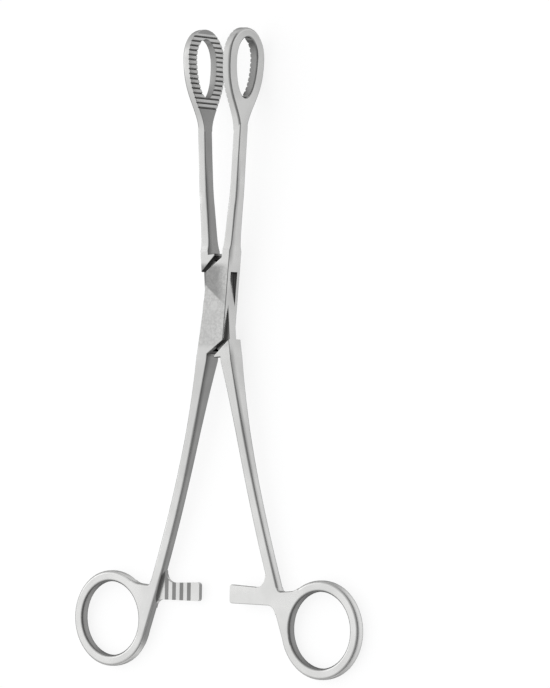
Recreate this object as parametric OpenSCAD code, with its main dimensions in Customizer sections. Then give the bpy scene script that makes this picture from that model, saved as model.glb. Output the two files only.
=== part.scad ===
// Haemorrhoid forceps: ring-handled grasping forceps with a box lock, two windowed
// serrated jaws and a toothed ratchet. Both halves are drawn closed, with the hinge
// axis on Z and the jaws toward +Y, and are then swung apart to the resting opening.

/* [Box lock] */
// Width of the lock across its sides
lock_w = 9; // [8.4:0.1:9.6]
// Thickness of the lock from front face to back face
lock_t = 5.9; // [5.4:0.1:6.5]
// Distance from the hinge to where a lock wall ends at its side
wall_reach = 10.2; // [9:0.1:11.5]
// Rise of the slanted wall end, in degrees
wall_slant = 39; // [30:1:44]
// Distance from the centre plane to the inner face of a shank at the crotch
crotch_x = 1.4; // [1.2:0.05:1.6]
// Thickness of the tongue that passes through the slot
tongue_t = 3; // [2.4:0.1:3.4]
// Play between the tongue and each wall of the slot
tongue_play = 0.08; // [0.06:0.01:0.12]
// Play between a shoulder and the end of a lock wall when closed
shoulder_play = 0.4; // [0.3:0.05:0.6]
// How far the front wall is dressed back beside the tongue
wall_relief = 0.4; // [0.2:0.1:0.9]
// Edge rounding of the lock
lock_edge = 0.35; // [0.2:0.05:0.5]

/* [Rivet] */
// Diameter of the hinge rivet
rivet_d = 3; // [2.6:0.1:3.4]
// Running play of the tongue round the rivet, at the radius
rivet_play = 0.03; // [0.02:0.01:0.06]
// Press of the lock walls on the rivet, at the radius
rivet_press = 0.01; // [0:0.005:0.02]

/* [Jaws] */
// Distance from the hinge to the jaw tip
jaw_reach = 85.4; // [80:0.2:92]
// Length of the egg-shaped jaw from its tip to its neck
jaw_len = 31.5; // [29:0.5:33]
// Greatest width of the jaw
jaw_w = 17; // [16.2:0.1:17.6]
// Distance from the tip to the widest place of the jaw
jaw_wide_at = 9.3; // [8.6:0.1:10]
// Width of the jaw's neck
neck_w = 3.8; // [3.4:0.1:4]
// Thickness of the jaw plate
jaw_t = 2.8; // [2.5:0.1:3]
// Gap between the jaw tips when closed
jaw_gap = 0.3; // [0.2:0.05:0.4]
// Distance of the jaw's middle from the centre plane at its neck
heel_x = 2.7; // [2.5:0.05:2.9]
// Distance from the tip to the window
window_at = 3; // [2.8:0.1:3.4]
// Length of the window
window_len = 18.4; // [17:0.1:19]
// Width of the window
window_w = 9.4; // [9:0.1:9.8]
// Distance from the window's tip end to its widest place
window_wide_at = 6.8; // [6.2:0.1:7.4]
// Rounding of the jaw's back edges
jaw_edge = 0.9; // [0.6:0.1:1]
// Rounding of the jaw's edges on the face side
face_edge = 0.2; // [0.1:0.05:0.3]
// Width of the rounding of the window's back rim
window_edge = 0.5; // [0.3:0.1:0.7]
// Distance from the tip to the first serration
serration_at = 1.7; // [1.4:0.1:1.8]
// Distance from one serration to the next
serration_pitch = 1.46; // [1.4:0.02:1.48]
// Number of serrations
serration_count = 16; // [14:1:16]
// Width of a serration at the jaw face
serration_w = 0.6; // [0.5:0.1:0.9]
// Depth of a serration
serration_depth = 0.45; // [0.3:0.05:0.6]

/* [Shanks] */
// How far the jaw shank bows outward half way along
jaw_shank_bow = 0.25; // [0.1:0.05:0.4]
// Width of the jaw shank half way along
jaw_shank_w = 2.9; // [2.6:0.1:3]
// Thickness of the jaw shank half way along
jaw_shank_t = 4; // [3.8:0.1:4.3]
// Width of the handle shank where it leaves the lock
root_w = 4.2; // [3.8:0.1:4.5]
// Width of the handle shank toward the ring
shank_w = 3.3; // [3.1:0.1:3.5]
// Thickness of the handle shank toward the ring
shank_t = 3.3; // [3.1:0.1:3.4]
// How far the handle shank bows inward half way along
shank_bow = 1.8; // [1.4:0.1:2.1]
// How much the handle shank swells before it meets the ring
shank_swell = 0.3; // [0.1:0.1:0.6]
// Edge rounding of the shanks
shank_edge = 0.9; // [0.6:0.1:1]

/* [Finger rings] */
// Distance from the hinge to the middle of a finger ring
ring_reach = 106; // [104:0.2:108]
// Angle of a ring's middle from the centre plane when closed
ring_angle = 18.5; // [17.9:0.1:19.1]
// Inner diameter of a finger ring
ring_d = 23; // [22.2:0.1:23.8]
// Width of the bow seen from the front
bow_w = 3.4; // [3.1:0.1:3.7]
// Thickness of the bow from front to back
bow_t = 3.4; // [3.2:0.1:3.8]
// Edge rounding of the bow
bow_edge = 1.1; // [0.9:0.1:1.3]

/* [Ratchet] */
// Distance from the hinge down to the middle of the ratchet arm
arm_reach = 88.2; // [86.6:0.2:89]
// Tilt of the ratchet arm when closed, which lies level at the resting opening
arm_tilt = 4.7; // [3:0.1:6]
// Height of the ratchet arm
arm_h = 5.7; // [5.2:0.1:6]
// How far an arm's tip passes the centre plane when closed
arm_pass = 0.5; // [0.3:0.1:1.2]
// Play between the tips of the facing teeth, from front to back
tooth_play = 0.16; // [0.1:0.02:0.3]
// Number of ratchet teeth
tooth_count = 4; // [3:1:4]
// Distance from one tooth to the next
tooth_pitch = 3; // [2.6:0.1:3.2]
// Depth of a tooth
tooth_depth = 0.75; // [0.5:0.05:0.9]
// Distance from the arm's tip to its first tooth groove
tooth_at = 3.4; // [3:0.1:3.8]

/* [Pose] */
// Angle between the halves at rest, counted from closed
open_angle = 9.4; // [4:0.2:14]

/* [Hidden] */

steel = "lightsteelblue";
dark_steel = "lightslategray";
$fn = 48;
eps = 0.02;

half_w = lock_w / 2;
rivet_r = rivet_d / 2;
wall_slope = tan(wall_slant);
// The slot's ends lie a little past the wall ends, at the same slant
slot_reach = wall_reach + 0.5;
crotch_y = wall_reach + (half_w + crotch_x) * wall_slope;
shoulder_rise = shoulder_play / cos(wall_slant);
toe_x = crotch_x - 0.3;
ledge_y = crotch_y + shoulder_rise + 0.4;
block_y = crotch_y + 2;
flare_y = -wall_reach / 4;
root_x = crotch_x + root_w / 2;
jaw_root_w = half_w - crotch_x;
jaw_root_x = (half_w + crotch_x) / 2;

neck_y = jaw_reach - jaw_len;
tip_x = (jaw_gap + jaw_t) / 2;
jaw_tilt = atan((heel_x - tip_x) / jaw_len);

bow_r = (ring_d + bow_w) / 2;
ring_x = ring_reach * sin(ring_angle);
ring_y = -ring_reach * cos(ring_angle);
// The shank runs into the ring just past its inmost place
merge_angle = 20;
merge_x = ring_x - bow_r * cos(merge_angle);
merge_y = ring_y - bow_r * sin(merge_angle);

// Points of an arc, with its centre, radius and two angles
function arc(cx, cy, r, a0, a1, n = 6) =
    [for (i = [0:n]) let (a = a0 + (a1 - a0) * i / n) [cx + r * cos(a), cy + r * sin(a)]];

// A smooth curve through a list of vectors, n steps between two of them
function blend(a, b, c, d, t) =
    0.5 * (2 * b + (c - a) * t + (2 * a - 5 * b + 4 * c - d) * t * t
        + (3 * b - a - 3 * c + d) * t * t * t);

function smooth(v, n) = let (e = len(v) - 1) concat(
    [for (i = [0:e - 1], k = [0:n - 1])
        blend(v[max(i - 1, 0)], v[i], v[i + 1], v[min(i + 2, e)], k / n)],
    [v[e]]);

// An outline moved inward by d, corner by corner
function unit(v) = v / norm(v);
function inset(p, d) = let (n = len(p)) [for (i = [0:n - 1])
    let (a = unit(p[i] - p[(i + n - 1) % n]), b = unit(p[(i + 1) % n] - p[i]),
        na = [-a[1], a[0]], nb = [-b[1], b[0]])
    p[i] + (na + nb) * d / (1 + na * nb)];

// Corner points of a rounded rectangle, anticlockwise
function rounded(w, t, r) = let (x = w / 2 - r, y = t / 2 - r) concat(
    arc(x, y, r, 0, 90, 4), arc(-x, y, r, 90, 180, 4),
    arc(-x, -y, r, 180, 270, 4), arc(x, -y, r, 270, 360, 4));

// A closed skin over convex rings of points, all with the same number of points
module skin(rings) {
    n = len(rings[0]);
    m = len(rings);
    polyhedron(
        points = [for (ring = rings, p = ring) p],
        faces = concat(
            [[for (i = [0:n - 1]) i]],
            [for (k = [0:m - 2], i = [0:n - 1])
                [k * n + i, (k + 1) * n + i, (k + 1) * n + (i + 1) % n, k * n + (i + 1) % n]],
            [[for (i = [n - 1:-1:0]) (m - 1) * n + i]]),
        convexity = 6);
}

// A forged bar through slices [y, x, width, thickness, edge radius]
module bar(slices) {
    skin([for (s = slices)
        [for (p = rounded(s[2], s[3], s[4])) [s[1] + p[0], s[0], -p[1]]]]);
}

// A closed band round an anticlockwise outline, its section in pairs of inset and height
module band(outline, section) {
    n = len(outline);
    m = len(section);
    polyhedron(
        points = [for (s = section, p = inset(outline, s[0])) [p[0], p[1], s[1]]],
        faces = [for (k = [0:m - 1], i = [0:n - 1]) let (next = (k + 1) % m)
            [k * n + i, next * n + i, next * n + (i + 1) % n, k * n + (i + 1) % n]],
        convexity = 6);
}

// A plate with rounded edges from an anticlockwise outline, square where a radius is 0
module plate(outline, z0, z1, r0, r1, steps = 3) {
    core = max(r0, r1);
    grip = 0.15;
    low = r0 == 0 ? [[0, z0]] : [for (k = [0:steps]) let (a = 90 * k / steps)
        [r0 * (1 - sin(a)), z0 + r0 * (1 - cos(a))]];
    high = r1 == 0 ? [[0, z1]] : [for (k = [0:steps]) let (a = 90 * k / steps)
        [r1 * (1 - cos(a)), z1 - r1 * (1 - sin(a))]];
    slab(inset(outline, core), z0, z1);
    band(outline, concat(
        r0 < core ? [[core, z0]] : [], low, high, r1 < core ? [[core, z1]] : [],
        [[core + grip, z1 - grip], [core + grip, z0 + grip]]));
}

// Outer side of the lock, which flares toward the handle root
function flare(y) =
    half_w + (crotch_x + root_w - half_w) * max(0, (flare_y - y) / (flare_y + block_y));

// Box half's lock in plan, from its jaw shank on the right to its handle on the left
function box_plan() = [
    [half_w, block_y], [crotch_x, block_y], [crotch_x, crotch_y],
    [-half_w, wall_reach], [-half_w, flare_y], [-flare(-block_y), -block_y],
    [-crotch_x, -block_y], [-crotch_x, -crotch_y],
    [half_w, -wall_reach]];

// Room for the tongue in plan, past whose slanted ends the box is solid
function slot_plan() = let (side = lock_w, drop = (side - half_w) * wall_slope,
        rise = (side + half_w) * wall_slope) [
    [side, slot_reach - drop], [-side, slot_reach + rise],
    [-side, -slot_reach + drop], [side, -slot_reach - rise]];

// Height of the tongue's slanted end at x
function tongue_end(x) = slot_reach - shoulder_rise + (half_w - x) * wall_slope;

// Tongue in plan, from its jaw shank on the left to its handle on the right
function tongue_plan() = let (low = tongue_end(half_w), high = tongue_end(-crotch_x)) [
    [half_w, low], [-crotch_x, high], [-half_w, high],
    [-half_w, -low], [crotch_x, -high], [half_w, -high]];

// Full-thickness shoulder over a wall end, with the toe that reaches past the middle
function shoulder_y(x) = wall_reach + shoulder_rise + (half_w + x) * wall_slope;
function upper_shoulder() = [
    [-half_w, shoulder_y(-half_w)], [toe_x, shoulder_y(toe_x)], [toe_x, ledge_y],
    [-crotch_x, ledge_y], [-crotch_x, block_y], [-half_w, block_y]];
function lower_shoulder() = let (y = shoulder_y(-half_w)) [
    [flare(-y), -y], [-toe_x, -shoulder_y(toe_x)], [-toe_x, -ledge_y],
    [crotch_x, -ledge_y], [crotch_x, -block_y], [flare(-block_y), -block_y]];

// Shank from the lock to the jaw, drawn to the right of the centre plane
module jaw_shank() {
    top = neck_y + 2;
    slices = concat(
        [[block_y - 1.5, jaw_root_x, jaw_root_w - 2 * eps, lock_t - 2 * eps, lock_edge]],
        smooth([
            [block_y, jaw_root_x, jaw_root_w, lock_t, lock_edge],
            [block_y + jaw_root_w, jaw_root_x, jaw_root_w, lock_t * 0.78, shank_edge / 2],
            [(block_y * 2 + neck_y) / 3, jaw_root_x + jaw_shank_bow * 0.5,
                (jaw_root_w + jaw_shank_w) / 2, jaw_shank_t * 1.05, shank_edge * 0.7],
            [(block_y + neck_y) / 2, jaw_root_x + jaw_shank_bow,
                jaw_shank_w, jaw_shank_t, shank_edge * 0.7],
            [(block_y + neck_y * 3) / 4, (jaw_root_x + heel_x) / 2 + jaw_shank_bow * 0.6,
                jaw_shank_w * 0.95, (jaw_shank_t + neck_w) / 2, shank_edge * 0.6],
            [neck_y, heel_x, jaw_t, neck_w, shank_edge / 2],
            [top, heel_x - 2 * tan(jaw_tilt), jaw_t - 2 * eps, neck_w, shank_edge / 2]], 4));
    bar(slices);
}

// Half width of the egg-shaped jaw at a distance from its tip
function egg(d) = d < jaw_wide_at
    ? jaw_w / 2 * sqrt(max(0, 1 - pow(1 - d / jaw_wide_at, 2)))
    : neck_w / 2 + (jaw_w - neck_w) / 2
        * (0.5 + 0.5 * cos(180 * pow((d - jaw_wide_at) / (jaw_len - jaw_wide_at), 1.4)));

// The jaw's outline with its tip at the origin and its neck toward -X
function jaw_outline() =
    let (steps = 14, round_steps = 9,
        lower = [for (i = [0:steps - 1])
            let (d = jaw_len - (jaw_len - jaw_wide_at) * i / steps) [-d, -egg(d)]],
        tip = [for (i = [0:round_steps]) let (a = 90 * i / round_steps)
            [-jaw_wide_at * (1 - sin(a)), -jaw_w / 2 * cos(a)]])
    concat(lower, tip,
        [for (i = [round_steps - 1:-1:0]) [tip[i][0], -tip[i][1]]],
        [for (i = [steps - 1:-1:0]) [lower[i][0], -lower[i][1]]]);

// The window's outline: two half ellipses that share a width
function window_outline() =
    let (x = -window_at - window_wide_at, low = window_len - window_wide_at)
    [for (i = [0:39]) let (a = 360 * i / 40, reach = cos(a) > 0 ? window_wide_at : low)
        [x + reach * cos(a), window_w / 2 * sin(a)]];

// Windowed jaw with serrations on the face that looks toward the centre plane
module jaw(shift) {
    face = jaw_gap / 2;
    back = face + jaw_t;
    window = window_outline();
    translate([0, jaw_reach, 0]) rotate([0, 0, jaw_tilt]) difference() {
        rotate([90, 0, 90]) plate(jaw_outline(), face, back, face_edge, jaw_edge);
        rotate([90, 0, 90]) skin([
            for (s = [[0, face - 1], [0, back - window_edge],
                    [-window_edge * 0.35, back - window_edge * 0.35], [-window_edge, back + eps]])
                [for (p = inset(window, s[0])) [p[0], p[1], s[1]]]]);
        for (i = [0:serration_count - 1])
            translate([face, -serration_at - (i + shift) * serration_pitch, 0])
                serration();
    }
}

// Cutter of one serration, a V groove across the jaw
module serration() {
    over = 0.2;
    half = serration_w / 2 * (1 + over / serration_depth);
    translate([0, 0, -jaw_w / 2 - 1]) linear_extrude(jaw_w + 2)
        polygon([[serration_depth, 0], [-over, half], [-over, -half]]);
}

// Handle shank to the left of the centre plane: its middle and size at height y
function down(y) = (y + block_y) / (merge_y + block_y);
function shank_mid(y) = let (f = down(y))
    -root_x - (merge_x - root_x) * f + shank_bow * sin(180 * f);
function shank_wide(y) = shank_w + (root_w - shank_w) * pow(1 - down(y), 8)
    + shank_swell * pow(sin(180 * pow(down(y), 2)), 2);
function shank_thick(y) = shank_t + (lock_t - shank_t) * pow(1 - down(y), 4.2);
function shank_round(y) = lock_edge + (shank_edge - lock_edge) * min(1, down(y) * 4);
function inner_side(y) = shank_mid(y) + shank_wide(y) / 2;
function outer_side(y) = shank_mid(y) - shank_wide(y) / 2;

module handle_shank() {
    steps = 20;
    bar(concat(
        [for (i = [steps:-1:0]) let (y = -block_y + (merge_y + block_y) * i / steps)
            [y, shank_mid(y), shank_wide(y), shank_thick(y), shank_round(y)]],
        [[1.5 - block_y, -root_x, root_w - 2 * eps, lock_t - 2 * eps, lock_edge]]));
}

// Finger ring with a flattish front and back
module finger_ring() {
    translate([-ring_x, ring_y, 0]) rotate_extrude($fn = 72)
        translate([bow_r, 0]) polygon(rounded(bow_w, bow_t, bow_edge));
}

// Web that joins the ring to the shank, with a notch at its top
module web() {
    notch_y = -arm_reach - 0.2;
    notch_r = 1.2;
    blend_r = 6;
    outer_r = bow_r + bow_w / 2;
    rise = notch_y + blend_r - ring_y;
    blend_x = -ring_x + sqrt(pow(outer_r + blend_r, 2) - pow(rise, 2));
    tangent = atan2(rise, blend_x + ring_x);
    side = outer_side(notch_y + notch_r);
    top = notch_y + notch_r * 3;
    foot_angle = 15;
    low = ring_y + bow_r * sin(foot_angle);
    outline = concat(
        [[shank_mid(low), low], [shank_mid(notch_y), notch_y], [shank_mid(top), top]],
        arc(side - notch_r, notch_y + notch_r, notch_r, 360, 270),
        arc(blend_x, notch_y + blend_r, blend_r, 270, 180 + tangent),
        arc(-ring_x, ring_y, bow_r, tangent, foot_angle));
    z = shank_t / 2 - eps;
    plate(outline, -z, z, 0.5, 0.5);
}

// A point of the ratchet arm, u along it past the centre plane and v up
function on_arm(u, v) = [u * cos(arm_tilt) - v * sin(arm_tilt),
    u * sin(arm_tilt) + v * cos(arm_tilt) - arm_reach];

// Ratchet arm at half thickness, its teeth toward the front
module ratchet_arm() {
    half_h = arm_h / 2;
    corner = 0.8;
    upper_r = 3.4;
    lower_r = 3;
    upper_y = -arm_reach + half_h + upper_r - abs(inner_side(-arm_reach)) * sin(arm_tilt);
    lower_y = -arm_reach - half_h - lower_r - abs(inner_side(-arm_reach)) * sin(arm_tilt);
    tip_low = on_arm(arm_pass - corner, corner - half_h);
    tip_high = on_arm(arm_pass - corner, half_h - corner);
    outline = concat(
        arc(tip_low[0], tip_low[1], corner, arm_tilt - 90, arm_tilt, 4),
        arc(tip_high[0], tip_high[1], corner, arm_tilt, arm_tilt + 90, 4),
        arc(inner_side(upper_y) + upper_r, upper_y, upper_r, 270 + arm_tilt, 180),
        [[shank_mid(upper_y), upper_y], [shank_mid(lower_y), lower_y]],
        arc(inner_side(lower_y) + lower_r, lower_y, lower_r, 180, 90 + arm_tilt));
    crest = -tooth_play / 2;
    difference() {
        plate(outline, -shank_t / 2 + eps, crest, 0.3, 0);
        for (i = [0:tooth_count - 1]) tooth_groove(arm_pass - tooth_at - i * tooth_pitch, crest);
    }
}

// Cutter between two teeth: a ramp that falls toward the tip and ends at a steep wall
module tooth_groove(u, crest) {
    ramp = tooth_pitch / 2;
    place = on_arm(u, 0);
    translate([place[0], place[1], 0]) rotate([90, 0, arm_tilt])
        translate([0, 0, -arm_h]) linear_extrude(arm_h * 2)
            polygon([[0, crest + 1], [-ramp, crest + 1], [-ramp, crest],
                [0, crest - tooth_depth]]);
}

// What the forging of each half holds beyond the lock
module limbs(shift) {
    jaw_shank();
    jaw(shift);
    handle_shank();
    web();
    ratchet_arm();
    finger_ring();
}

module slab(outline, z0, z1) {
    translate([0, 0, z0]) linear_extrude(z1 - z0) polygon(outline);
}

module bore(r) {
    translate([0, 0, -lock_t]) cylinder(h = lock_t * 2, r = r);
}

// Half with the box: two walls with a slot between them
module box_half() {
    top = lock_t / 2;
    slot_z = tongue_t / 2 + tongue_play;
    color(steel) place(-1) {
        difference() {
            plate(box_plan(), -top, top, lock_edge, lock_edge);
            slab(slot_plan(), -slot_z, slot_z);
            slab([[-lock_w, 0], [-half_w, 0], [wall_relief - half_w, 2],
                [wall_relief - half_w, block_y], [-lock_w, block_y]], slot_z / 2, lock_t);
            bore(rivet_r - rivet_press);
        }
        limbs(0);
    }
}

// Half with the tongue that passes through the slot
module tongue_half() {
    top = lock_t / 2;
    color(steel) place(1) {
        plate(upper_shoulder(), -top, top, lock_edge, lock_edge);
        plate(lower_shoulder(), -top, top, lock_edge, lock_edge);
        difference() {
            slab(tongue_plan(), -tongue_t / 2, tongue_t / 2);
            bore(rivet_r + rivet_play);
        }
        rotate([0, 180, 0]) limbs(0.5);
    }
}

// Hinge rivet, ground flush with both faces of the lock
module rivet() {
    color(dark_steel) cylinder(h = lock_t, r = rivet_r);
}

// A half swung about the hinge to the resting opening, its back face at Z = 0
module place(side) {
    translate([0, 0, lock_t / 2]) rotate([0, 0, side * open_angle / 2]) children();
}

box_half();
tongue_half();
rivet();
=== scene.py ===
import math

import bpy
from mathutils import Matrix, Vector

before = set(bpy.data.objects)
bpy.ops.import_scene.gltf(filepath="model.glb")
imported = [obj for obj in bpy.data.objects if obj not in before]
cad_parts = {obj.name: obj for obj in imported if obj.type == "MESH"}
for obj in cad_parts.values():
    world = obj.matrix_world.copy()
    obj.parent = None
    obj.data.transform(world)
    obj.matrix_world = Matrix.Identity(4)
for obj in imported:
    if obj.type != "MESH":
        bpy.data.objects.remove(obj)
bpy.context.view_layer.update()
mm = 0.001
gridStep = (200, -240)  # column and row of the node editor, for every "at" below


def addNode(tree, kind, at, **values):
    node = tree.nodes.new(kind)
    node.location = [place * step for place, step in zip(at, gridStep)]
    for name, value in values.items():
        if hasattr(node, name):
            setattr(node, name, value)
        else:
            node.inputs[name.replace("_", " ")].default_value = value
    return node


def feed(tree, socket, value):
    if isinstance(value, bpy.types.NodeSocket):
        tree.links.new(value, socket)
    elif value is not None:
        socket.default_value = value


def addMath(tree, operation, at, first, second=None, third=None):
    node = addNode(tree, "ShaderNodeMath", at, operation=operation)
    for socket, value in zip(node.inputs, (first, second, third)):
        feed(tree, socket, value)
    return node.outputs[0]


def addProduct(tree, at, first, *others):
    for column, other in enumerate(others):
        first = addMath(tree, "MULTIPLY", (at[0] + column, at[1]), first, other)
    return first


def addFade(tree, at, value, start, end, low=0.0, high=1.0):
    fade = addNode(tree, "ShaderNodeMapRange", at, interpolation_type="SMOOTHSTEP")
    for name, number in (("From Min", start), ("From Max", end), ("To Min", low), ("To Max", high)):
        fade.inputs[name].default_value = number
    feed(tree, fade.inputs["Value"], value)
    return fade.outputs["Result"]


def addMix(tree, at, amount, first, second):
    mix = addNode(tree, "ShaderNodeMix", at, data_type="FLOAT")
    for socket, value in zip((mix.inputs[0], mix.inputs[2], mix.inputs[3]), (amount, first, second)):
        feed(tree, socket, value)
    return mix.outputs[0]


# Photograph: what the camera saw, in degrees, metres and pixels of a 550 x 688 image
photo = {
    "width": 550,
    "height": 688,
    "lean": 39.95,  # from straight above toward the right side
    "tilt": -1.37,  # toward the rings
    "roll": 0.876,
    "distance": 1.271,
    "aimFrom": (0, 0, 2.95 * mm),  # the middle of the hinge
    "hingeAt": (220.1, 305.8),
    "metresPerPixel": 0.3065 * mm,
    "sensor": 36,  # width in millimetres, as Blender counts it
}


def makeCamera():
    lean, tilt, roll = (math.radians(photo[name]) for name in ("lean", "tilt", "roll"))
    back = Vector((math.sin(lean) * math.cos(tilt), math.sin(tilt), math.cos(lean) * math.cos(tilt)))
    right = Vector((math.cos(lean), 0, -math.sin(lean)))
    up = back.cross(right)
    rolledRight = right * math.cos(roll) + up * math.sin(roll)
    rolledUp = up * math.cos(roll) - right * math.sin(roll)
    hinge = Vector(photo["aimFrom"])
    eye = hinge + back * photo["distance"]
    across = (photo["width"] / 2 - photo["hingeAt"][0]) * photo["metresPerPixel"]
    down = (photo["height"] / 2 - photo["hingeAt"][1]) * photo["metresPerPixel"]
    aim = hinge + rolledRight * across - rolledUp * down
    backward = (eye - aim).normalized()
    side = rolledUp.cross(backward).normalized()
    top = backward.cross(side)
    data = bpy.data.cameras.new("photoCamera")
    data.sensor_width = photo["sensor"]
    pixels = photo["distance"] / photo["metresPerPixel"]
    data.lens = pixels * photo["sensor"] / max(photo["width"], photo["height"])
    camera = bpy.data.objects.new("photoCamera", data)
    camera.matrix_world = Matrix.Translation(eye) @ Matrix((side, top, backward)).transposed().to_4x4()
    bpy.context.scene.collection.objects.link(camera)
    bpy.context.scene.camera = camera


makeCamera()
print("camera stands")

# Pale floor, on which the jaws and the finger rings rest
floorPaper = {
    "size": 6,
    "touches": ((75.9 * mm, -5.6 * mm), (-111 * mm, 1.2 * mm)),  # jaws and rings, in Y and Z
    "colour": (0.26, 0.26, 0.262),
    "glow": 0.81,  # what whitens the paper to the camera and in the steel
}


def makeFloor():
    (jawY, jawZ), (ringY, ringZ) = floorPaper["touches"]
    slope = math.atan2(jawZ - ringZ, jawY - ringY)
    half = floorPaper["size"] / 2
    corners = [(-half, -half, 0), (half, -half, 0), (half, half, 0), (-half, half, 0)]
    mesh = bpy.data.meshes.new("floor")
    mesh.from_pydata(corners, [], [(0, 1, 2, 3)])
    floor = bpy.data.objects.new("floor", mesh)
    bpy.context.scene.collection.objects.link(floor)
    floor.rotation_euler = (slope, 0, 0)
    floor.location = (0, 0, jawZ - jawY * math.tan(slope))
    material = bpy.data.materials.new("floorPaper")
    material.use_nodes = True
    tree = material.node_tree
    tree.nodes.remove(tree.nodes["Principled BSDF"])
    paper = addNode(tree, "ShaderNodeBsdfDiffuse", (-1, -1), Color=(*floorPaper["colour"], 1))
    path = addNode(tree, "ShaderNodeLightPath", (-5, 0))
    seen = addMath(tree, "MAXIMUM", (-4, 0), path.outputs["Is Camera Ray"], path.outputs["Is Glossy Ray"])
    seen = addMath(tree, "MAXIMUM", (-3, 0), seen, path.outputs["Is Transmission Ray"])
    glow = addNode(tree, "ShaderNodeEmission", (-1, 0))
    feed(tree, glow.inputs["Strength"], addProduct(tree, (-2, 0), seen, floorPaper["glow"]))
    both = addNode(tree, "ShaderNodeAddShader", (0, 0))
    feed(tree, both.inputs[0], paper.outputs[0])
    feed(tree, both.inputs[1], glow.outputs[0])
    feed(tree, tree.nodes["Material Output"].inputs["Surface"], both.outputs[0])
    mesh.materials.append(material)


makeFloor()
print("floor laid")

# Soft window over the left side, and the dimmer room opposite, with steps of light from room to window
studio = {
    "windowToward": (-0.64, 0.1, 0.76),
    "steps": ((0.0, 0.22), (0.58, 0.3), (0.82, 1.0), (1.0, 1.12)),  # place and light
    "keyAt": (-1.3, 0.35, 0.6),
    "keySize": 0.8,
    "keyPower": 1.5,
}


def makeRoom():
    world = bpy.data.worlds.new("softRoom")
    world.use_nodes = True
    tree = world.node_tree
    place = addNode(tree, "ShaderNodeTexCoord", (-5, 0))
    toward = addNode(tree, "ShaderNodeVectorMath", (-4, 0), operation="DOT_PRODUCT")
    toward.inputs[1].default_value = Vector(studio["windowToward"]).normalized()
    feed(tree, toward.inputs[0], place.outputs["Generated"])
    share = addMath(tree, "MULTIPLY_ADD", (-3, 0), toward.outputs["Value"], 0.5, 0.5)  # 0 to 1
    ramp = addNode(tree, "ShaderNodeValToRGB", (-2, 0))
    ramp.color_ramp.interpolation = "B_SPLINE"
    while len(ramp.color_ramp.elements) < len(studio["steps"]):
        ramp.color_ramp.elements.new(0.5)
    brightest = studio["steps"][-1][1]
    for element, (at, light) in zip(ramp.color_ramp.elements, studio["steps"]):
        element.position = at
        element.color = (light / brightest,) * 3 + (1,)
    feed(tree, ramp.inputs["Fac"], share)
    feed(tree, tree.nodes["Background"].inputs["Color"], ramp.outputs["Color"])
    tree.nodes["Background"].inputs["Strength"].default_value = brightest
    bpy.context.scene.world = world
    bpy.context.scene.view_settings.view_transform = "Standard"


def makeKey():
    data = bpy.data.lights.new("key", "AREA")
    data.size = studio["keySize"]
    data.energy = studio["keyPower"]
    key = bpy.data.objects.new("key", data)
    key.location = studio["keyAt"]
    key.rotation_mode = "QUATERNION"
    key.rotation_quaternion = (-Vector(studio["keyAt"])).to_track_quat("-Z", "Y")
    bpy.context.scene.collection.objects.link(key)


makeRoom()
makeKey()
print("room and key light made")

# Cloud, mottle and grain are all the same kind of noise
noise = {
    "detail": 3.0,
    "spread": (0.3, 0.7),  # the values that it mostly has
    "bumpStrength": 0.5,
}


def addNoise(tree, at, place, scale):
    pattern = addNode(tree, "ShaderNodeTexNoise", at, Scale=scale, Detail=noise["detail"])
    feed(tree, pattern.inputs["Vector"], place)
    return pattern.outputs[0]


def addGrain(tree, at, pattern, depth, shader):
    bump = addNode(tree, "ShaderNodeBump", at, Strength=noise["bumpStrength"], Distance=depth)
    feed(tree, bump.inputs["Height"], pattern)
    feed(tree, shader.inputs["Normal"], bump.outputs["Normal"])


def addColour(tree, at, tone, tint, shader):
    colour = addNode(tree, "ShaderNodeCombineColor", (at[0] + 1, at[1]))
    for socket, part in zip(colour.inputs, tint):
        feed(tree, socket, addProduct(tree, at, tone, part))
    feed(tree, shader.inputs["Base Color"], colour.outputs[0])


# The tones below are told apart by place, in metres from the hinge, and by the way a face points; most of
# them are painted shade.
# There a part of the face's direction goes from -1 to 1, and outward is away from the other half.
# A pair of numbers in brackets is where a finish starts and where it is full, if no note says otherwise.

# Painted shade on faces toward the other half
innerFaceShade = {
    "tone": 0.28,  # also inside the windows and the rings
    "turned": (-0.7, -0.95),  # outward
}


def markInnerFaceShade(tree, surface):
    return addFade(tree, (3, 0), surface["outward"], *innerFaceShade["turned"])


# Painted shade on the walls of the jaw windows, which face the window's middle
jawWindowShade = {
    "middle": (74.4 * mm, 2.95 * mm),  # Y and Z, in both jaws
    "start": 60 * mm,
    "wall": (0, -1.2 * mm),  # distance from the middle, times how squarely the face looks away from it
}


def markJawWindowShade(tree, surface):
    middleY, middleZ = jawWindowShade["middle"]
    fromY = addMath(tree, "SUBTRACT", (1, 1), surface["y"], middleY)
    fromZ = addMath(tree, "SUBTRACT", (1, 2), surface["z"], middleZ)
    acrossY = addProduct(tree, (2, 1), fromY, surface["facingY"])
    acrossZ = addProduct(tree, (2, 2), fromZ, surface["facingZ"])
    wall = addFade(tree, (4, 1), addMath(tree, "ADD", (3, 1), acrossY, acrossZ), *jawWindowShade["wall"])
    inJaw = addMath(tree, "GREATER_THAN", (4, 2), surface["y"], jawWindowShade["start"])
    return addProduct(tree, (5, 1), wall, inJaw)


# Painted shade on the inner walls of the finger rings, which face the ring's middle
ringHoleShade = {
    "middle": (41.76 * mm, -97.43 * mm),  # X to either side, and Y
    "reach": 13 * mm,  # a little more than the hole
    "wall": (-4 * mm, -9 * mm),  # as for the windows
}


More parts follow.
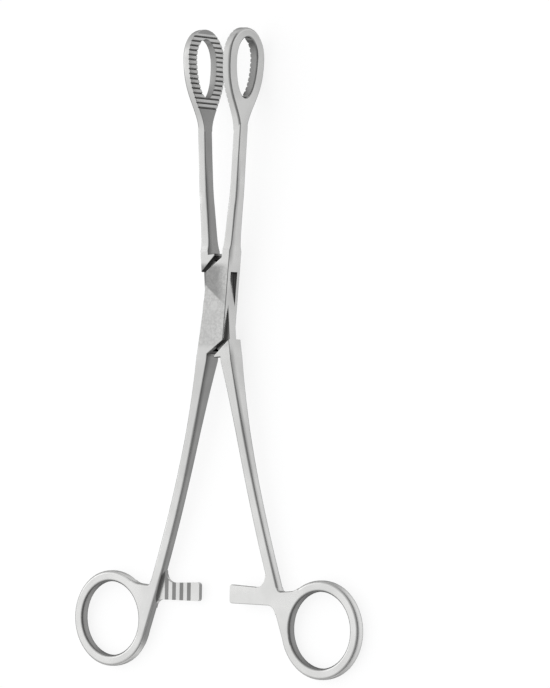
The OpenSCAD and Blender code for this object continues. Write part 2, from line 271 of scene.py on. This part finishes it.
def markRingHoleShade(tree, surface):
    middleX, middleY = ringHoleShade["middle"]
    fromX = addMath(tree, "SUBTRACT", (1, 3), surface["absX"], middleX)
    fromY = addMath(tree, "SUBTRACT", (1, 4), surface["y"], middleY)
    acrossX = addProduct(tree, (2, 3), fromX, surface["outward"])
    acrossY = addProduct(tree, (2, 4), fromY, surface["facingY"])
    wall = addFade(tree, (4, 3), addMath(tree, "ADD", (3, 3), acrossX, acrossY), *ringHoleShade["wall"])
    squareX = addProduct(tree, (2, 5), fromX, fromX)
    squareY = addProduct(tree, (2, 6), fromY, fromY)
    reach = addMath(tree, "ADD", (3, 5), squareX, squareY)
    inRing = addMath(tree, "LESS_THAN", (4, 5), reach, ringHoleShade["reach"] ** 2)
    return addProduct(tree, (5, 3), wall, inRing)


# Tops of the bars between the serrations, with less painted shade than the grooves
serrationShade = {
    "tone": 0.5,
    "between": (61.2 * mm, 83.6 * mm),  # Y of the first and the last one
    "turned": (-0.9, -0.97),  # outward
}


def markBarTops(tree, surface):
    first, last = serrationShade["between"]
    top = addFade(tree, (3, 7), surface["outward"], *serrationShade["turned"])
    afterFirst = addMath(tree, "GREATER_THAN", (3, 8), surface["y"], first)
    beforeLast = addMath(tree, "LESS_THAN", (4, 8), surface["y"], last)
    return addProduct(tree, (5, 7), top, afterFirst, beforeLast)


# Painted shade in the gaps of the lock: its slanted ends, and the tongue's faces with the slot round them
lockGapShade = {
    "tone": 0.2,
    "reach": 17.5 * mm,
    "middle": 2.95 * mm,  # Z of the slot
    "slotHalf": 1.7 * mm,
    "ends": (0.4, 0.55),  # along the limbs
    "flat": 0.8,  # the least part to the front or back of a face in the slot
}


def markLockGapShade(tree, surface):
    ends = addFade(tree, (3, 9), surface["absFacingY"], *lockGapShade["ends"])
    fromMiddle = addMath(tree, "SUBTRACT", (1, 10), surface["z"], lockGapShade["middle"])
    depth = addMath(tree, "ABSOLUTE", (2, 10), fromMiddle)
    deep = addMath(tree, "LESS_THAN", (3, 10), depth, lockGapShade["slotHalf"])
    flat = addMath(tree, "GREATER_THAN", (3, 11), surface["absFacingZ"], lockGapShade["flat"])
    shadedSlotFaces = addProduct(tree, (4, 10), deep, flat)
    near = addMath(tree, "LESS_THAN", (5, 10), surface["absY"], lockGapShade["reach"])
    return addProduct(tree, (6, 9), addMath(tree, "MAXIMUM", (5, 9), ends, shadedSlotFaces), near)


# Painted shade on the ramps of the ratchet teeth
toothRampShade = {
    "tone": 0.3,
    "between": (-95 * mm, -78 * mm),  # Y of both arms
    "leanFrom": (0.25, 0.4),  # the least part to a side
    "leanTo": (0.6, 0.5),  # the most
    "straight": 0.05,  # the most along the limbs
}


def markToothRampShade(tree, surface):
    low, high = toothRampShade["between"]
    leanFrom = addFade(tree, (2, 12), surface["absFacingX"], *toothRampShade["leanFrom"])
    leanTo = addFade(tree, (2, 13), surface["absFacingX"], *toothRampShade["leanTo"])
    aboveLow = addMath(tree, "GREATER_THAN", (3, 13), surface["y"], low)
    belowHigh = addMath(tree, "LESS_THAN", (4, 13), surface["y"], high)
    straight = addMath(tree, "LESS_THAN", (5, 13), surface["absFacingY"], toothRampShade["straight"])
    return addProduct(tree, (3, 12), leanFrom, leanTo, aboveLow, belowHigh, straight)


# Painted shade along the rounded edges, between front and side on the limbs and between flat and rim on
# the jaws
edgeShade = {
    "share": (0.62, 0.78),  # tone that is left, at the lock and far from it
    "shareOver": (20 * mm, 70 * mm),
    "jawsStart": 54 * mm,
    "turnFrom": (0.15, 0.3),  # the least part to the front, or on the jaws to a side
    "turnTo": (0.97, 0.9),  # the most
    "outer": (-0.3, -0.1),  # outward
}


def markEdgeShade(tree, surface):
    onJaws = addMath(tree, "GREATER_THAN", (1, 14), surface["y"], edgeShade["jawsStart"])
    turn = addMix(tree, (2, 14), onJaws, surface["absFacingZ"], surface["absFacingX"])
    turnFrom = addFade(tree, (3, 14), turn, *edgeShade["turnFrom"])
    turnTo = addFade(tree, (3, 15), turn, *edgeShade["turnTo"])
    outer = addFade(tree, (3, 16), surface["outward"], *edgeShade["outer"])
    share = addFade(tree, (6, 15), surface["absY"], *edgeShade["shareOver"], *edgeShade["share"])
    return addProduct(tree, (4, 14), turnFrom, turnTo, outer), share


# Painted shade on the sides of the limbs, darker toward the front, in place of a wider rounding of the
# edges
limbSideShade = {
    "share": (1.08, 0.56),  # tone that is left, from the middle to the front
    "shareOver": (0.1, 0.95),  # of half a limb's thickness
    "middle": 2.95 * mm,  # Z of every limb
    "half": (2.95 * mm, 1.65 * mm),  # half a limb's thickness, at the lock and far from it
    "halfOver": (15 * mm, 42 * mm),
    "upright": (0.5, 0.2),  # the most to the front or back
    "jawEnd": (48 * mm, 34 * mm),
    "lockEnd": (11 * mm, 16 * mm),
}


def markLimbSideShade(tree, surface):
    half = addFade(tree, (1, 18), surface["absY"], *limbSideShade["halfOver"], *limbSideShade["half"])
    fromMiddle = addMath(tree, "SUBTRACT", (1, 19), surface["z"], limbSideShade["middle"])
    level = addMath(tree, "DIVIDE", (2, 18), fromMiddle, half)
    share = addFade(tree, (3, 18), level, *limbSideShade["shareOver"], *limbSideShade["share"])
    upright = addFade(tree, (3, 17), surface["absFacingZ"], *limbSideShade["upright"])
    jawEnd = addFade(tree, (4, 18), surface["y"], *limbSideShade["jawEnd"])
    lockEnd = addFade(tree, (5, 18), surface["absY"], *limbSideShade["lockEnd"])
    return addProduct(tree, (6, 17), upright, jawEnd, lockEnd), share


# Ground front and back of the lock, in a fine mottle
lockFaces = {
    "tone": 0.5,
    "reach": (13.5 * mm, 11.5 * mm),
    "flat": (0.8, 0.95),  # to the front or back
    "mottle": 1300,  # spots to a metre
    "mottleShare": (0.9, 1.08),  # darkest and lightest
}


def markLockFaces(tree, surface):
    near = addFade(tree, (3, 20), surface["absY"], *lockFaces["reach"])
    flat = addFade(tree, (3, 21), surface["absFacingZ"], *lockFaces["flat"])
    mottle = addNoise(tree, (1, 22), surface["place"], lockFaces["mottle"])
    low, high = (lockFaces["tone"] * share for share in lockFaces["mottleShare"])
    tone = addFade(tree, (3, 22), mottle, *noise["spread"], low, high)
    return addProduct(tree, (4, 20), near, flat), tone


# Painted shade over the upper left corner of the lock's front, in place of a darker reflection, with a
# slanted lower border
lockPatchShade = {
    "share": 0.54,  # tone that is left
    "from": (-2 * mm, 4.7 * mm),  # X and Y of a point on the border
    "slope": 0.8,
    "border": (0, 0.8 * mm),  # above it
    "across": (6 * mm, 0),
}


def markLockPatchShade(tree, surface, lock):
    fromX = addMath(tree, "SUBTRACT", (1, 23), surface["x"], lockPatchShade["from"][0])
    fromY = addMath(tree, "SUBTRACT", (1, 24), surface["y"], lockPatchShade["from"][1])
    above = addMath(tree, "ADD", (3, 23), addProduct(tree, (2, 23), fromX, lockPatchShade["slope"]), fromY)
    border = addFade(tree, (4, 23), above, *lockPatchShade["border"])
    across = addFade(tree, (4, 24), surface["x"], *lockPatchShade["across"])
    front = addMath(tree, "GREATER_THAN", (5, 24), surface["facingZ"], 0)
    return addProduct(tree, (5, 23), border, across, lock, front)


# Satin stainless steel of the two halves
satinSteel = {
    "tone": (0.58, 0.67),  # at the jaws, and lighter toward the rings
    "lighterOver": (-35 * mm, -90 * mm),
    "tint": (1.0, 1.0, 0.99),
    "edgeTint": (0.3, 0.3, 0.3, 1),  # a satin finish greys where it turns away
    "roughness": (0.32, 0.24),  # in the darkest and the lightest cloud
    "cloud": 90,  # patches to a metre
    "cloudShare": (0.95, 1.05),  # darkest and lightest
    "grain": 2600,  # lines to a metre, across the limbs
    "grainStretch": 0.08,
    "grainDepth": 0.006 * mm,
}


def readSurface(tree):
    place = addNode(tree, "ShaderNodeTexCoord", (-2, 0))
    at = addNode(tree, "ShaderNodeSeparateXYZ", (-1, 0))
    facing = addNode(tree, "ShaderNodeSeparateXYZ", (-1, 1))
    feed(tree, at.inputs[0], place.outputs["Object"])
    feed(tree, facing.inputs[0], place.outputs["Normal"])
    surface = {"place": place.outputs["Object"]}
    for row, axis in enumerate("XYZ"):
        surface[axis.lower()] = at.outputs[axis]
        surface["facing" + axis] = facing.outputs[axis]
        surface["abs" + axis] = addMath(tree, "ABSOLUTE", (0, row), at.outputs[axis])
        surface["absFacing" + axis] = addMath(tree, "ABSOLUTE", (0, row + 3), facing.outputs[axis])
    side = addMath(tree, "SIGN", (0, 6), surface["x"])
    surface["outward"] = addProduct(tree, (0, 7), side, surface["facingX"])
    return surface


def makeSatinSteel():
    material = bpy.data.materials.new("satinSteel")
    material.use_nodes = True
    tree = material.node_tree
    shader = tree.nodes["Principled BSDF"]
    shader.location = (16 * gridStep[0], 0)
    tree.nodes["Material Output"].location = (18 * gridStep[0], 0)
    shader.inputs["Metallic"].default_value = 1
    shader.inputs["Specular Tint"].default_value = satinSteel["edgeTint"]
    surface = readSurface(tree)
    cloud = addNoise(tree, (1, 26), surface["place"], satinSteel["cloud"])

    # Body, lock, and the painted shade of the patch on the lock
    lock, lockTone = markLockFaces(tree, surface)
    patch = markLockPatchShade(tree, surface, lock)
    body = addFade(tree, (8, 20), surface["y"], *satinSteel["lighterOver"], *satinSteel["tone"])
    tone = addMix(tree, (9, 20), lock, body, lockTone)
    tone = addProduct(tree, (10, 20), tone, addMix(tree, (9, 23), patch, 1.0, lockPatchShade["share"]))

    # Painted shade: along the rounded edges, then on the faces toward the other half, in the windows and
    # in the rings, with the bar tops lighter, then on the sides of the limbs
    edge, edgeShare = markEdgeShade(tree, surface)
    tone = addProduct(tree, (11, 14), tone, addMix(tree, (9, 14), edge, 1.0, edgeShare))
    innerShade = addMath(tree, "MAXIMUM", (6, 0), markInnerFaceShade(tree, surface), markJawWindowShade(tree, surface))
    innerShade = addMath(tree, "MAXIMUM", (7, 0), innerShade, markRingHoleShade(tree, surface))
    bars = addMix(tree, (9, 7), markBarTops(tree, surface), innerFaceShade["tone"], serrationShade["tone"])
    tone = addMix(tree, (12, 0), innerShade, tone, bars)
    side, sideShare = markLimbSideShade(tree, surface)
    tone = addProduct(tree, (12, 17), tone, addMix(tree, (10, 17), side, 1.0, sideShare))

    # Painted shade in the gaps of the lock and on the ramps of the teeth, and cloud over all of it
    tone = addMix(tree, (12, 9), markLockGapShade(tree, surface), tone, lockGapShade["tone"])
    tone = addMix(tree, (12, 12), markToothRampShade(tree, surface), tone, toothRampShade["tone"])
    cloudShare = addFade(tree, (3, 26), cloud, *noise["spread"], *satinSteel["cloudShare"])
    tone = addProduct(tree, (13, 12), tone, cloudShare)
    addColour(tree, (14, 0), tone, satinSteel["tint"], shader)
    roughness = addFade(tree, (3, 27), cloud, *noise["spread"], *satinSteel["roughness"])
    feed(tree, shader.inputs["Roughness"], roughness)

    # Polishing grain along the limbs
    stretch = addNode(tree, "ShaderNodeMapping", (0, 28))
    stretch.inputs["Scale"].default_value = (1, satinSteel["grainStretch"], 1)
    feed(tree, stretch.inputs[0], surface["place"])
    grain = addNoise(tree, (1, 28), stretch.outputs[0], satinSteel["grain"])
    addGrain(tree, (14, 2), grain, satinSteel["grainDepth"], shader)
    return material


# Ground end of the hinge rivet
rivetSteel = {
    "tone": (0.5, 0.55),
    "tint": (1.0, 1.0, 0.99),
    "roughness": 0.34,
    "mottle": 1300,
    "grainDepth": 0.004 * mm,
}


def makeRivetSteel():
    material = bpy.data.materials.new("rivetSteel")
    material.use_nodes = True
    tree = material.node_tree
    shader = tree.nodes["Principled BSDF"]
    shader.inputs["Metallic"].default_value = 1
    shader.inputs["Roughness"].default_value = rivetSteel["roughness"]
    place = addNode(tree, "ShaderNodeTexCoord", (-5, 0))
    mottle = addNoise(tree, (-4, 0), place.outputs["Object"], rivetSteel["mottle"])
    tone = addFade(tree, (-3, 0), mottle, *noise["spread"], *rivetSteel["tone"])
    addColour(tree, (-2, 0), tone, rivetSteel["tint"], shader)
    addGrain(tree, (-1, 1), mottle, rivetSteel["grainDepth"], shader)
    return material


# Curves of the forgings are shaded smooth up to this angle, and the ratchet teeth stay crisp
forging = {
    "smoothAngle": 35,
    "toothAngle": 20,
    "teethAt": (9 * mm, 88.2 * mm, 2.95 * mm),  # from the hinge, to either side
    "teethReach": 12.5 * mm,
    "weldWithin": 0.002 * mm,
    "flatWithin": 0.2,  # faces this near to one plane, in degrees, count as one
    "flatWeight": 80,
}


def makeSharpEdges():
    tree = bpy.data.node_groups.new("sharpEdges", "GeometryNodeTree")
    for way in ("INPUT", "OUTPUT"):
        tree.interface.new_socket("Geometry", in_out=way, socket_type="NodeSocketGeometry")
    start = addNode(tree, "NodeGroupInput", (-4, 0))
    end = addNode(tree, "NodeGroupOutput", (2, 0))
    place = addNode(tree, "GeometryNodeInputPosition", (-7, 1))
    eitherSide = addNode(tree, "ShaderNodeVectorMath", (-6, 1), operation="ABSOLUTE")
    away = addNode(tree, "ShaderNodeVectorMath", (-5, 1), operation="DISTANCE")
    away.inputs[1].default_value = forging["teethAt"]
    feed(tree, eitherSide.inputs[0], place.outputs[0])
    feed(tree, away.inputs[0], eitherSide.outputs[0])
    near = addMath(tree, "LESS_THAN", (-4, 1), away.outputs["Value"], forging["teethReach"])
    wide, tight = math.radians(forging["smoothAngle"]), math.radians(forging["toothAngle"])
    limit = addMath(tree, "MULTIPLY_ADD", (-3, 1), near, tight - wide, wide)
    angle = addNode(tree, "GeometryNodeInputMeshEdgeAngle", (-3, 2))
    smooth = addMath(tree, "LESS_THAN", (-2, 1), angle.outputs["Unsigned Angle"], limit)
    shade = addNode(tree, "GeometryNodeSetShadeSmooth", (0, 0), domain="EDGE")
    feed(tree, shade.inputs["Geometry"], start.outputs[0])
    feed(tree, shade.inputs["Shade Smooth"], smooth)
    feed(tree, end.inputs[0], shade.outputs["Geometry"])
    return tree


def dressNode(name, material, sharpEdges):
    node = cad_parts[name]
    node.data.materials.clear()
    node.data.materials.append(material)
    for face in node.data.polygons:
        face.use_smooth = True
    weld = node.modifiers.new("joinFacets", "WELD")
    weld.merge_threshold = forging["weldWithin"]
    flats = node.modifiers.new("joinFlats", "DECIMATE")
    flats.decimate_type = "DISSOLVE"
    flats.angle_limit = math.radians(forging["flatWithin"])
    node.modifiers.new("sharpEdges", "NODES").node_group = sharpEdges
    normals = node.modifiers.new("flatFaces", "WEIGHTED_NORMAL")
    normals.keep_sharp = True
    normals.weight = forging["flatWeight"]


sharpEdges = makeSharpEdges()
steel = makeSatinSteel()
for half in ("box_half", "tongue_half"):
    dressNode(half, steel, sharpEdges)
print("halves finished")
dressNode("rivet", makeRivetSteel(), sharpEdges)
print("rivet finished")
